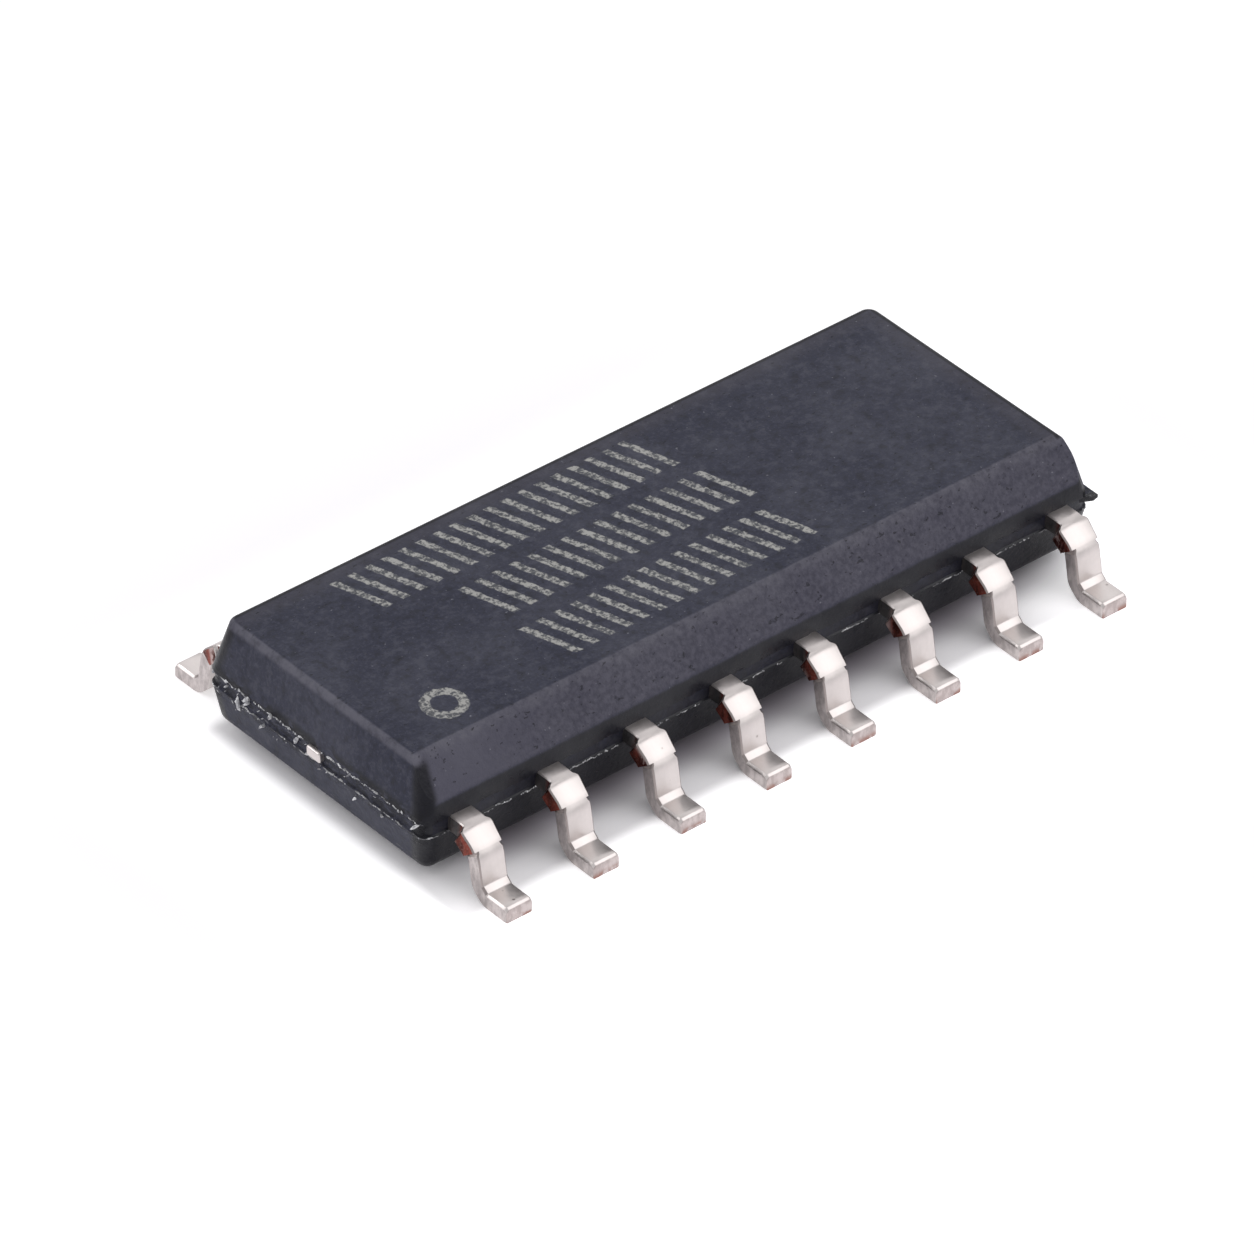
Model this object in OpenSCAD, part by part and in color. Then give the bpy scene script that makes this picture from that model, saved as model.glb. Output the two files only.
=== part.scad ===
// Sixteen-lead small-outline package: a moulded body on a stamped and folded leadframe,
// with the die, its paddle and the bond wires sealed inside.
// The origin is the middle of the footprint, on the board. +X runs from lead 1 to lead 8, +Z is up.

/* [Body] */
// Length of the moulded body at the leadframe
body_length = 9.95; // [9.8:0.05:10]
// Width of the moulded body at the leadframe
body_width = 3.9; // [3.8:0.05:4]
// Height of the top face above the board
body_top = 1.6; // [1.55:0.05:1.75]
// Height of the underside above the board
standoff = 0.15; // [0.1:0.05:0.25]
// Draft of the walls, in degrees from the vertical
draft = 13; // [8:1:14]
// Plan radius of the body's corners
corner_radius = 0.16; // [0.12:0.01:0.3]
// Radius where the walls turn into the top face and the underside
edge_radius = 0.08; // [0.04:0.01:0.12]
// Height of the bevel over the wall of lead 1
bevel_height = 0.44; // [0.3:0.02:0.48]
// Width that the bevel takes off the top face
bevel_run = 0.24; // [0.18:0.01:0.3]

/* [Flash] */
// How far the flash ledge stands out of the end of lead 8
ledge = 0.06; // [0.03:0.01:0.08]
// Thickness of the flash ledge
ledge_thickness = 0.08; // [0.06:0.01:0.16]
// How far the flash ledge follows the long walls from its corners
ledge_wrap = 0.2; // [0.12:0.01:0.24]
// Gap between the flash ledge and the tie bar
ledge_gap = 0.2; // [0.1:0.05:0.4]

/* [Leads] */
// Distance between neighbouring leads
lead_spacing = 1.27; // [1.25:0.01:1.28]
// Distance over the tips of opposite leads
span = 5.94; // [5.88:0.02:6.1]
// Width of a lead
lead_width = 0.4; // [0.36:0.01:0.46]
// Thickness of the leadframe's sheet
sheet = 0.2; // [0.17:0.01:0.22]
// Height of the leadframe's upper face above the board
frame_top = 0.9; // [0.86:0.01:0.94]
// Bevel that stamping leaves along the upper edges of a lead
lead_bevel = 0.04; // [0.02:0.005:0.05]
// Radius of the bend at the shoulder, at the middle of the sheet
shoulder_radius = 0.24; // [0.2:0.01:0.28]
// Radius of the bend at the heel, at the middle of the sheet
heel_radius = 0.2; // [0.15:0.01:0.24]
// Slope of the leg, in degrees below the horizontal
leg_slope = 80; // [74:1:84]
// Length of the flat sole
sole = 0.33; // [0.25:0.01:0.38]
// Width that the trimmed dam bar leaves on each side of the shoulder bend
dam_stub = 0.045; // [0.03:0.005:0.08]
// Part of the shoulder bend that the dam bar's stubs follow, in degrees
dam_arc = 66; // [50:1:70]

/* [Inner leads] */
// Leads beside each corner that slant towards the end of the paddle
slanting = 2; // [1, 2]
// How deep the outer width of a lead reaches into the body's wall
wall_bite = 0.2; // [0.15:0.01:0.25]
// Width of a lead inside the body
inner_width = 0.3; // [0.24:0.01:0.32]
// Width over the ears that lock a lead in the body
ear_width = 0.56; // [0.5:0.02:0.6]
// Length of the ears along the lead
ear_length = 0.16; // [0.1:0.01:0.18]
// Distance from the middle line at which the slanting leads turn
knee_y = 1.42; // [1.38:0.01:1.46]
// Gap between the paddle and the tips of the leads
tip_gap = 0.2; // [0.15:0.01:0.25]
// Distance from the middle line to the middle of the tips beside a tie bar
tip_low = 0.42; // [0.4:0.01:0.44]
// Distance between the tips that face one end of the paddle
tip_spacing = 0.5; // [0.46:0.01:0.52]
// Length of the straight tip of a slanting lead
tip_run = 0.5; // [0.4:0.02:0.56]

/* [Paddle and die] */
// Length of the paddle
paddle_length = 4.2; // [4:0.1:4.4]
// Width of the paddle
paddle_width = 2.3; // [2.1:0.05:2.3]
// Depth of the paddle below the leads
downset = 0.2; // [0.15:0.01:0.24]
// Length of the ramps between the paddle and its tie bars
ramp = 0.25; // [0.2:0.01:0.35]
// Width of the tie bars that held the paddle in its frame
tie_width = 0.24; // [0.2:0.01:0.3]
// How far the cut tie bars stand out of the body's ends
tie_stub = 0.05; // [0.02:0.01:0.08]
// Length of the die
die_length = 1.6; // [1.4:0.1:2]
// Width of the die
die_width = 1.5; // [1.3:0.1:1.7]
// Thickness of the die
die_thickness = 0.28; // [0.2:0.01:0.3]
// Thickness of the adhesive under the die
adhesive = 0.03; // [0.02:0.005:0.05]
// How far the adhesive reaches past the die
adhesive_rim = 0.08; // [0.04:0.01:0.12]

/* [Bond wires] */
// Diameter of a bond wire
wire_diameter = 0.03; // [0.025:0.005:0.04]
// Diameter of the ball on the die
ball_diameter = 0.09; // [0.07:0.005:0.1]
// Diameter of the flattened stitch on the lead
stitch_diameter = 0.07; // [0.06:0.005:0.08]
// Height of the ball and of the stitch
bond_height = 0.03; // [0.024:0.002:0.04]
// Distance of the balls from the edge of the die
pad_inset = 0.12; // [0.1:0.01:0.15]
// Distance of the stitch from the tip of the lead
stitch_inset = 0.14; // [0.1:0.01:0.16]
// Angle between the start of a wire and the line between its two ends
loop_angle = 34; // [30:1:42]

/* [Hidden] */
$fn = 48;
per_side = 8;
pins = 2 * per_side;
corner_steps = 6;
edge_steps = 3;
wire_steps = 8;
wire_sides = 6;

frame_middle = frame_top - sheet / 2;
frame_bottom = frame_top - sheet;
paddle_top = frame_top - downset;
paddle_bottom = paddle_top - sheet;
adhesive_top = paddle_top + adhesive;
die_top = adhesive_top + die_thickness;

end_x = body_length / 2;
wall_y = body_width / 2;
lead_start = wall_y - wall_bite;
ear_y = lead_start - ear_length;
tip_x = paddle_length / 2 + tip_gap;
tip_y = paddle_width / 2 + tip_gap;

bends_height = (shoulder_radius + heel_radius) * (1 - cos(leg_slope));
bends_reach = (shoulder_radius + heel_radius) * sin(leg_slope);
leg = (frame_bottom - bends_height) / sin(leg_slope);
shoulder = span / 2 - sole - bends_reach - leg * cos(leg_slope) - lead_start;

// ---------- places of the leads and the wires ----------

function near(pin) = pin <= per_side;
function column(pin) = (near(pin) ? pin - 1 : pins - pin) - (per_side - 1) / 2;
function side(pin) = near(pin) ? -1 : 1;
function lead_x(pin) = column(pin) * lead_spacing;

// places from the nearest corner, and whether the lead runs straight in to the paddle's long edge
function rank(pin) = (per_side - 1) / 2 - abs(column(pin));
function straight(pin) = rank(pin) >= slanting;
function heading(pin) = straight(pin) ? [0, side(pin)] : [sign(column(pin)), 0];
function tip(pin) = straight(pin)
    ? [lead_x(pin), side(pin) * tip_y]
    : [sign(column(pin)) * tip_x, side(pin) * (tip_low + rank(pin) * tip_spacing)];
function route(pin) = straight(pin)
    ? [[lead_x(pin), side(pin) * (lead_start + lead_bevel)], tip(pin)]
    : [
        [lead_x(pin), side(pin) * (lead_start + lead_bevel)],
        [lead_x(pin), side(pin) * knee_y],
        tip(pin) + tip_run * heading(pin),
        tip(pin)
    ];

function stitch(pin) = tip(pin) + stitch_inset * heading(pin);
// the ball lies where the line from the middle of the die to the stitch meets the row of pads
function ball(pin) =
    let (to = stitch(pin))
    to * min((die_length / 2 - pad_inset) / abs(to[0]), (die_width / 2 - pad_inset) / abs(to[1]));

// ---------- flat strips along a route ----------

function unit(v) = v / norm(v);
function left_of(v) = [-v[1], v[0]];
function way(path, k) = unit(path[k + 1] - path[k]);
// half a mitre's diagonal for a strip of half-width 1
function mitre(path, k) =
    let (
        last = len(path) - 1,
        before = left_of(way(path, max(k - 1, 0))),
        after = left_of(way(path, min(k, last - 1))),
        across = unit(before + after)
    )
    across / (across * before);
function strip_outline(path, width) = concat(
    [for (k = [0:len(path) - 1]) path[k] + mitre(path, k) * width / 2],
    [for (k = [len(path) - 1:-1:0]) path[k] - mitre(path, k) * width / 2]
);

// ---------- moulded body ----------

// [height, inset, corner radius] of the rings around one half of the mould, from the leadframe's
// face outwards; the wall leans in by the draft and then rolls over into the flat face
function half_rings(depth) =
    let (
        centre = (edge_radius + (depth - edge_radius) * sin(draft)) / cos(draft),
        wall_end = centre - edge_radius * cos(draft)
    )
    [
        for (k = [0:edge_steps])
            let (
                a = draft + (90 - draft) * k / edge_steps,
                inset = centre - edge_radius * cos(a)
            )
            [depth - edge_radius + edge_radius * sin(a), inset, corner_radius - inset + wall_end]
    ];

function ring(z, inset, radius) = [
    for (quarter = [0:3], k = [0:corner_steps])
        let (
            a = 90 * quarter + 90 * k / corner_steps,
            sx = quarter == 0 || quarter == 3 ? 1 : -1,
            sy = quarter < 2 ? 1 : -1
        )
        [
            sx * (end_x - inset - radius) + radius * cos(a),
            sy * (wall_y - inset - radius) + radius * sin(a),
            z
        ]
];

module loft(rings) {
    n = len(rings[0]);
    last = len(rings) - 1;
    polyhedron(
        points = [for (r = rings) each r],
        faces = concat(
            [[for (k = [0:n - 1]) k]],
            [for (j = [0:last - 1], k = [0:n - 1])
                [j * n + k, (j + 1) * n + k, (j + 1) * n + (k + 1) % n, j * n + (k + 1) % n]],
            [[for (k = [n - 1:-1:0]) last * n + k]]
        )
    );
}

// between the two halves, a band as thick as the leadframe stands upright
module drafted_block() {
    lower = half_rings(frame_bottom - standoff);
    upper = half_rings(body_top - frame_top);
    loft(concat(
        [for (k = [edge_steps:-1:0]) ring(frame_bottom - lower[k][0], lower[k][1], lower[k][2])],
        [ring(frame_bottom, 0, corner_radius), ring(frame_top, 0, corner_radius)],
        [for (level = upper) ring(frame_top + level[0], level[1], level[2])]
    ));
}

// the bevel meets the wall bevel_height below the top and the top face bevel_run inside its edge
module bevel_cut() {
    low = [wall_y - (body_top - bevel_height - frame_top) * tan(draft), body_top - bevel_height];
    high = [wall_y - (body_top - frame_top) * tan(draft) - bevel_run, body_top];
    slope = high - low;
    rotate([90, 0, -90])
        linear_extrude(2 * body_length, center = true)
            polygon([
                low - slope,
                high + slope,
                [body_width, high[1] + slope[1]],
                [body_width, low[1] - slope[1]]
            ]);
}

// resin that ran out along the upper edge of the band, on both sides of the tie bar
module flash_ledge() {
    inner_y = tie_width / 2 + ledge_gap;
    length = wall_y + ledge - inner_y;
    middle_z = frame_top - ledge_thickness / 2;
    for (s = [-1, 1])
        translate([end_x + (ledge - ledge_wrap) / 2, s * (inner_y + length / 2), middle_z])
            cube([ledge_wrap + ledge, length, ledge_thickness], center = true);
}

module mould_body() {
    color([0.26, 0.26, 0.31])
        difference() {
            union() {
                drafted_block();
                flash_ledge();
            }
            bevel_cut();
            die_paddle();
            die_adhesive();
            silicon_die();
            for (pin = [1:pins]) {
                lead(pin);
                bond_wire(pin);
            }
        }
}

// ---------- leads ----------

// section of the outer lead, its upper edges bevelled
module section() {
    half = lead_width / 2;
    polygon([
        [-half, -sheet / 2],
        [half, -sheet / 2],
        [half, sheet / 2 - lead_bevel],
        [half - lead_bevel, sheet / 2],
        [lead_bevel - half, sheet / 2],
        [-half, sheet / 2 - lead_bevel]
    ]);
}

// a straight run along +X; its children start where it ends
module run(length) {
    rotate([90, 0, 90]) linear_extrude(length) section();
    translate([length, 0, 0]) children();
}

// a bend downwards, and one back upwards; their children start where they end
module bend_down(radius, angle) {
    translate([0, 0, -radius])
        rotate([90, 0, 0])
            rotate(90 - angle)
                rotate_extrude(angle = angle)
                    translate([radius, 0]) rotate(-90) section();
    translate([radius * sin(angle), 0, -radius * (1 - cos(angle))])
        rotate([0, angle, 0]) children();
}

module bend_up(radius, angle) {
    translate([0, 0, radius])
        rotate([90, 0, 0])
            rotate(-90)
                rotate_extrude(angle = angle)
                    translate([radius, 0]) rotate(90) section();
    translate([radius * sin(angle), 0, radius * (1 - cos(angle))])
        rotate([0, -angle, 0]) children();
}

module sole_with_bevelled_tip() {
    difference() {
        run(sole);
        translate([sole, 0, sheet / 2])
            rotate([0, 45, 0])
                cube([sqrt(2) * lead_bevel, 2 * lead_width, sqrt(2) * lead_bevel], center = true);
    }
}

// what trimming leaves of the dam bar, on both sides of the shoulder bend
module dam_stubs() {
    root = 2 * lead_bevel;
    for (s = [-1, 1])
        translate([0, s * (lead_width / 2 - root / 2 + dam_stub / 2), -shoulder_radius])
            rotate([90, 0, 0])
                rotate(90 - dam_arc)
                    rotate_extrude(angle = dam_arc)
                        translate([shoulder_radius, 0])
                            square([sheet, root + dam_stub], center = true);
}

module outer_lead() {
    run(shoulder)
        bend_down(shoulder_radius, leg_slope)
            run(leg)
                bend_up(heel_radius, leg_slope)
                    sole_with_bevelled_tip();
    translate([shoulder, 0, 0]) dam_stubs();
}

module inner_lead(pin) {
    translate([0, 0, frame_bottom])
        linear_extrude(sheet) {
            polygon(strip_outline(route(pin), inner_width));
            translate([lead_x(pin) - ear_width / 2, side(pin) * (ear_y + ear_length / 2) - ear_length / 2])
                square([ear_width, ear_length]);
        }
}

module lead(pin) {
    color([0.83, 0.81, 0.79]) {
        translate([lead_x(pin), side(pin) * lead_start, frame_middle])
            rotate(side(pin) * 90) outer_lead();
        inner_lead(pin);
    }
}

// ---------- paddle, die and wires ----------

module die_paddle() {
    reach = end_x + tie_stub;
    foot = paddle_length / 2;
    color([0.78, 0.55, 0.42]) {
        translate([0, 0, paddle_top - sheet / 2])
            cube([paddle_length, paddle_width, sheet], center = true);
        rotate([90, 0, 0])
            linear_extrude(tie_width, center = true)
                polygon([
                    [-reach, frame_bottom], [-foot - ramp, frame_bottom], [-foot, paddle_bottom],
                    [foot, paddle_bottom], [foot + ramp, frame_bottom], [reach, frame_bottom],
                    [reach, frame_top], [foot + ramp, frame_top], [foot, paddle_top],
                    [-foot, paddle_top], [-foot - ramp, frame_top], [-reach, frame_top]
                ]);
    }
}

module die_adhesive() {
    color([0.75, 0.75, 0.72])
        translate([0, 0, paddle_top + adhesive / 2])
            cube([die_length + 2 * adhesive_rim, die_width + 2 * adhesive_rim, adhesive], center = true);
}

module silicon_die() {
    color([0.4, 0.42, 0.48])
        translate([0, 0, adhesive_top + die_thickness / 2])
            cube([die_length, die_width, die_thickness], center = true);
}

// the wire is an arc that stands on the straight line from its ball to its stitch
function wire_point(from, to, k) =
    let (
        chord = norm(to - from),
        radius = chord / (2 * sin(loop_angle)),
        a = loop_angle * (2 * k / wire_steps - 1),
        along = unit(to - from),
        across = unit([-along[1], along[0], 0]),
        up = cross(along, across)
    )
    (from + to) / 2 + along * radius * sin(a) + up * radius * (cos(a) - cos(loop_angle));

function wire_ring(from, to, k) =
    let (
        along = unit(to - from),
        across = unit([-along[1], along[0], 0]),
        up = cross(along, across),
        a = loop_angle * (2 * k / wire_steps - 1),
        out = up * cos(a) + along * sin(a)
    )
    [for (j = [0:wire_sides - 1])
        let (turn = 360 * j / wire_sides)
        wire_point(from, to, k) + wire_diameter / 2 * (across * cos(turn) + out * sin(turn))];

module bond_wire(pin) {
    from = ball(pin);
    to = stitch(pin);
    start = [from[0], from[1], die_top + bond_height];
    finish = [to[0], to[1], frame_top + bond_height];
    color([0.9, 0.72, 0.3]) {
        translate([from[0], from[1], die_top]) cylinder(d = ball_diameter, h = bond_height, $fn = 24);
        translate([to[0], to[1], frame_top]) cylinder(d = stitch_diameter, h = bond_height, $fn = 24);
        loft([for (k = [0:wire_steps]) wire_ring(start, finish, k)]);
    }
}

mould_body();
die_paddle();
die_adhesive();
silicon_die();
for (pin = [1:pins]) {
    lead(pin);
    bond_wire(pin);
}
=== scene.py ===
import math
from collections import namedtuple

import bmesh
import bpy
from mathutils import Matrix, Vector, noise


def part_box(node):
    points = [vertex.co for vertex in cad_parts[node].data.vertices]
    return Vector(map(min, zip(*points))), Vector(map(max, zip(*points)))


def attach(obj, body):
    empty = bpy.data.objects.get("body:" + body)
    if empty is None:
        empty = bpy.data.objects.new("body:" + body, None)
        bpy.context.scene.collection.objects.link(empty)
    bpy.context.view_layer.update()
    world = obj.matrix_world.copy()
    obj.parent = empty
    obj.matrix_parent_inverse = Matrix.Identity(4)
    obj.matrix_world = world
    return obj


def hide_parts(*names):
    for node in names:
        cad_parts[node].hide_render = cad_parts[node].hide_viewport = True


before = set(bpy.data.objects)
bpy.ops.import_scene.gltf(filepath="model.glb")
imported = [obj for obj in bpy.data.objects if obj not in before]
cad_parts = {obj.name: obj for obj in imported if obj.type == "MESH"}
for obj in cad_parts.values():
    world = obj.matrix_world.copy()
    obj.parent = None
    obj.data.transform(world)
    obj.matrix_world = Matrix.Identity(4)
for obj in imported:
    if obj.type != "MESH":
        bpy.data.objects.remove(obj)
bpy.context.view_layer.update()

# ---------- sizes, in millimetres unless a name says otherwise ----------

MM = 0.001
PINS = 16
PER_SIDE = PINS // 2

body_low, body_high = (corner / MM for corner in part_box("mould_body"))
foot_low, foot_high = (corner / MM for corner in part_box("lead_1"))
far_low, far_high = (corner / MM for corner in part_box("lead_9"))
tie_low, tie_high = (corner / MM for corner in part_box("die_paddle"))

# moulded body
END_X = -body_low.x
LEDGE = body_high.x - END_X
WALL_Y = body_high.y - LEDGE
TOP = body_high.z
BOTTOM = body_low.z
LONG_PIECES = 140
SHORT_PIECES = 60
CORNER_STEPS = 8
DRAFT = math.radians(13)
CORNER = 0.16
TOP_EDGE = 0.1
LOW_EDGE = 0.2
LOW_CORNER = 0.16
LOW_DRAFT = math.radians(9.5)
BEVEL_HEIGHT = 0.44
BEVEL_RUN = 0.24
BEVEL_TOP_ROUND = 0.08
BEVEL_LOW_ROUND = 0.06
ROUND_STEPS = 6
LEDGE_THICKNESS = 0.08
LEDGE_WRAP = 0.2
LEDGE_GAP = 0.2
LEDGE_WOBBLE = 0.008
LEDGE_PIECES = 40
LEDGE_SEED = 1

# leads
SHEET = 0.2
FRAME_TOP = foot_high.z
FRAME_MIDDLE = FRAME_TOP - SHEET / 2
FRAME_BOTTOM = FRAME_TOP - SHEET
SPACING = 1.27
SPAN = far_high.y - foot_low.y
LEAD_WIDTH = 0.4
DAM_STUB = 0.045
STUB_RIGHT = 0.02
STUB_FLARE = 0.018
NECK = 0.03
# slope of the flats in the bends, and how far they reach from the corner of the middle line
FLAT_SLOPE = math.radians(40)
SHOULDER_FLAT = 0.186
HEEL_FLAT = 0.111
HEEL_RADIUS = 0.2
LEG_SLOPE = math.radians(80)
SOLE = 0.33
TIP_BEVEL = 0.04
SHEARED_OFF = 0.01
SHOULDER_BEND = 0.14
LEG_BEND = 0.25
HEEL_BEND = 0.13
EDGE_ROLL = 0.02
SOLE_ROLL = 0.038
LOWER_ROLL = 0.012

# paddle and the tie bars that carried it
TIE_WIDTH = 0.24
TIE_END = tie_high.x
PADDLE_LENGTH = 4.2
PADDLE_WIDTH = tie_high.y - tie_low.y
PADDLE_BOTTOM = tie_low.z
RAMP = 0.25


# the bevel's plane, through its lower edge
WALL_TOP_Y = WALL_Y - (TOP - FRAME_TOP) * math.tan(DRAFT)
BEVEL_LOW = Vector((0, -WALL_TOP_Y - BEVEL_HEIGHT * math.tan(DRAFT), TOP - BEVEL_HEIGHT))
BEVEL_SLOPE = Vector((0, -WALL_TOP_Y + BEVEL_RUN, TOP)) - BEVEL_LOW
BEVEL_NORMAL = Vector((0, -BEVEL_SLOPE.z, BEVEL_SLOPE.y)).normalized()

# height, inset and depth of the chips of each ring on the upright band beside the leadframe; the
# band is a shallow recess between two chipped lips
BAND = (
    (FRAME_BOTTOM - 0.015, 0.004, 0.006),
    (FRAME_BOTTOM + 0.01, 0.0, 0.02),
    (FRAME_BOTTOM + 0.025, 0.022, 0.012),
    (FRAME_TOP - 0.035, 0.026, 0.012),
    (FRAME_TOP - 0.015, 0.0, 0.024),
    (FRAME_TOP + 0.015, 0.004, 0.006),
)


# ---------- small helpers ----------

def metres(x, y, z):
    return Vector((x, y, z)) * MM


def put_in_scene(name, data):
    made = bpy.data.objects.new(name, data)
    bpy.context.scene.collection.objects.link(made)
    return made


def add_piece(name, mesh, slot, *nodes):
    """A finished piece: rides on the body and stands for CAD nodes, which it hides. The slot is not used."""
    piece = put_in_scene(name, mesh)
    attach(piece, "root")
    if nodes:
        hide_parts(*nodes)
    return piece


def finished_mesh(form, name, crease):
    """Turns a form drawn in millimetres into a mesh, sharp where it turns more than crease degrees."""
    bmesh.ops.recalc_face_normals(form, faces=form.faces)
    bmesh.ops.transform(form, matrix=Matrix.Scale(MM, 4), verts=form.verts)
    mesh = bpy.data.meshes.new(name)
    form.to_mesh(mesh)
    form.free()
    mesh.polygons.foreach_set("use_smooth", [True] * len(mesh.polygons))
    mesh.set_sharp_from_angle(angle=math.radians(crease))
    return mesh


def direction(azimuth, elevation):
    """Unit vector from the package to a place round it; azimuth 0 faces leads 1 to 8."""
    a = math.radians(azimuth)
    e = math.radians(elevation)
    return Vector((math.sin(a) * math.cos(e), -math.cos(a) * math.cos(e), math.sin(e)))


def dress(node, material):
    """Gives a CAD node its material and leaves its shape alone."""
    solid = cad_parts[node]
    solid.data.materials.clear()
    solid.data.materials.append(material)


# ---------- shader helpers ----------

class Field:
    """A value that varies over a surface. Arithmetic on it adds Math nodes to its finish."""

    def __init__(self, finish, socket):
        self.finish = finish
        self.socket = socket

    def __add__(self, other):
        return self.finish.math("ADD", self, other)

    def __radd__(self, other):
        return self.finish.math("ADD", other, self)

    def __sub__(self, other):
        return self.finish.math("SUBTRACT", self, other)

    def __rsub__(self, other):
        return self.finish.math("SUBTRACT", other, self)

    def __mul__(self, other):
        return self.finish.math("MULTIPLY", self, other)

    def __pow__(self, other):
        return self.finish.math("POWER", self, other)

    def __abs__(self):
        return self.finish.math("ABSOLUTE", self)

    def ramp(self, start, end, low=0.0, high=1.0):
        """A smooth step from low at start to high at end."""
        made = self.finish.node("ShaderNodeMapRange", interpolation_type="SMOOTHSTEP")
        names = ("Value", "From Min", "From Max", "To Min", "To Max")
        for name, value in zip(names, (self, start, end, low, high)):
            self.finish.put(value, made.inputs[name])
        return Field(self.finish, made.outputs["Result"])

    def mixed(self, factor, other):
        """This colour, with the other one over it where the factor is 1."""
        return self.finish.mix(factor, self, other)


class Finish:
    """A material's node tree, with its pattern in millimetres on Object coordinates."""

    def __init__(self, name):
        self.material = bpy.data.materials.new(name)
        self.material.use_nodes = True
        self.tree = self.material.node_tree
        self.tree.nodes.clear()
        self.shader = self.node("ShaderNodeBsdfPrincipled")
        output = self.node("ShaderNodeOutputMaterial")
        self.tree.links.new(self.shader.outputs["BSDF"], output.inputs["Surface"])
        coordinates = self.node("ShaderNodeTexCoord")
        self.place = Field(self, coordinates.outputs["Object"])
        self.place = self.stretch((1 / MM, 1 / MM, 1 / MM))

    def node(self, kind, **settings):
        made = self.tree.nodes.new(kind)
        for key, value in settings.items():
            setattr(made, key, value)
        return made

    def put(self, value, socket):
        if isinstance(value, Field):
            self.tree.links.new(value.socket, socket)
        else:
            socket.default_value = value

    def surface(self, colour, roughness, metallic=0.0):
        for name, value in (("Base Color", colour), ("Roughness", roughness), ("Metallic", metallic)):
            self.put(value, self.shader.inputs[name])

    def math(self, operation, *values):
        made = self.node("ShaderNodeMath", operation=operation)
        for value, socket in zip(values, made.inputs):
            self.put(value, socket)
        return Field(self, made.outputs[0])

    def larger(self, first, second):
        return self.math("MAXIMUM", first, second)

    def smaller(self, first, second):
        return self.math("MINIMUM", first, second)

    def split(self, vector):
        made = self.node("ShaderNodeSeparateXYZ")
        self.put(vector, made.inputs[0])
        return [Field(self, part) for part in made.outputs]

    def attribute(self, name):
        return Field(self, self.node("ShaderNodeAttribute", attribute_name=name).outputs["Fac"])

    def stretch(self, scale):
        made = self.node("ShaderNodeMapping")
        made.inputs["Scale"].default_value = scale
        self.put(self.place, made.inputs["Vector"])
        return Field(self, made.outputs["Vector"])

    def noise(self, per_mm, detail=2.0, roughness=0.5, vector=None):
        made = self.node("ShaderNodeTexNoise")
        made.inputs["Scale"].default_value = per_mm
        made.inputs["Detail"].default_value = detail
        made.inputs["Roughness"].default_value = roughness
        self.put(vector or self.place, made.inputs["Vector"])
        return Field(self, made.outputs["Fac"])

    def cells(self, per_mm, vector=None):
        """Distance from the nearest of some scattered points, and a random value for each point."""
        made = self.node("ShaderNodeTexVoronoi")
        made.inputs["Scale"].default_value = per_mm
        self.put(vector or self.place, made.inputs["Vector"])
        chance, _, _ = self.split(Field(self, made.outputs["Color"]))
        return Field(self, made.outputs["Distance"]), chance

    def mix(self, factor, first, second):
        made = self.node("ShaderNodeMix", data_type="RGBA", blend_type="MIX")
        self.put(factor, made.inputs["Factor"])
        first_colour, second_colour = [socket for socket in made.inputs if socket.type == "RGBA"]
        self.put(first, first_colour)
        self.put(second, second_colour)
        return Field(self, next(socket for socket in made.outputs if socket.type == "RGBA"))

    def bump(self, height, strength, distance):
        made = self.node("ShaderNodeBump")
        made.inputs["Strength"].default_value = strength
        made.inputs["Distance"].default_value = distance * MM
        self.put(height, made.inputs["Height"])
        self.tree.links.new(made.outputs["Normal"], self.shader.inputs["Normal"])


def rgb(red, green, blue):
    return (red, green, blue, 1.0)


def grey(level, tint=(1.0, 1.0, 1.0)):
    return rgb(level * tint[0], level * tint[1], level * tint[2])


# ---------- moulded body ----------

def half_rings(depth, draft, edge, corner, steps=6):
    """Height, inset and corner radius of the rings around one half of the mould, from the leadframe's
    face outwards: the drafted wall, then the roll-over into the flat face."""
    centre = (edge + (depth - edge) * math.sin(draft)) / math.cos(draft)
    wall_end = centre - edge * math.cos(draft)
    rings = []
    for step in range(steps + 1):
        angle = draft + (math.pi / 2 - draft) * step / steps
        inset = centre - edge * math.cos(angle)
        rings.append((depth - edge + edge * math.sin(angle), inset, corner - inset + wall_end))
    return rings


def ring_points(height, inset, radius, chips=0.0):
    """Points around the body at one height; chips scales how deep the ring is nibbled."""
    half_x = END_X - inset - radius
    half_y = WALL_Y - inset - radius
    corners = [Vector((sx * half_x, sy * half_y, height))
               for sx, sy in ((1, 1), (-1, 1), (-1, -1), (1, -1))]
    points = []
    for quarter, corner in enumerate(corners):
        following = corners[(quarter + 1) % 4]
        pieces = LONG_PIECES if quarter % 2 == 0 else SHORT_PIECES
        places = [(corner, quarter + step / CORNER_STEPS) for step in range(CORNER_STEPS)]
        places += [(corner.lerp(following, step / pieces), quarter + 1) for step in range(pieces)]
        for middle, turns in places:
            angle = math.pi / 2 * turns
            outwards = Vector((math.cos(angle), math.sin(angle), 0))
            place = middle + radius * outwards
            bite = noise.noise(place * 7) + 0.6 * noise.noise(place * 23)
            points.append(place - chips * max(bite, 0) * outwards)
    return points


def loft(form, rings):
    """Joins rings of equal length by quads, and closes both ends."""
    rows = [[form.verts.new(point) for point in ring] for ring in rings]
    for low, high in zip(rows, rows[1:]):
        for k in range(len(low)):
            after = (k + 1) % len(low)
            form.faces.new((low[k], low[after], high[after], high[k]))
    form.faces.new(list(reversed(rows[0])))
    form.faces.new(rows[-1])
    return rows


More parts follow.
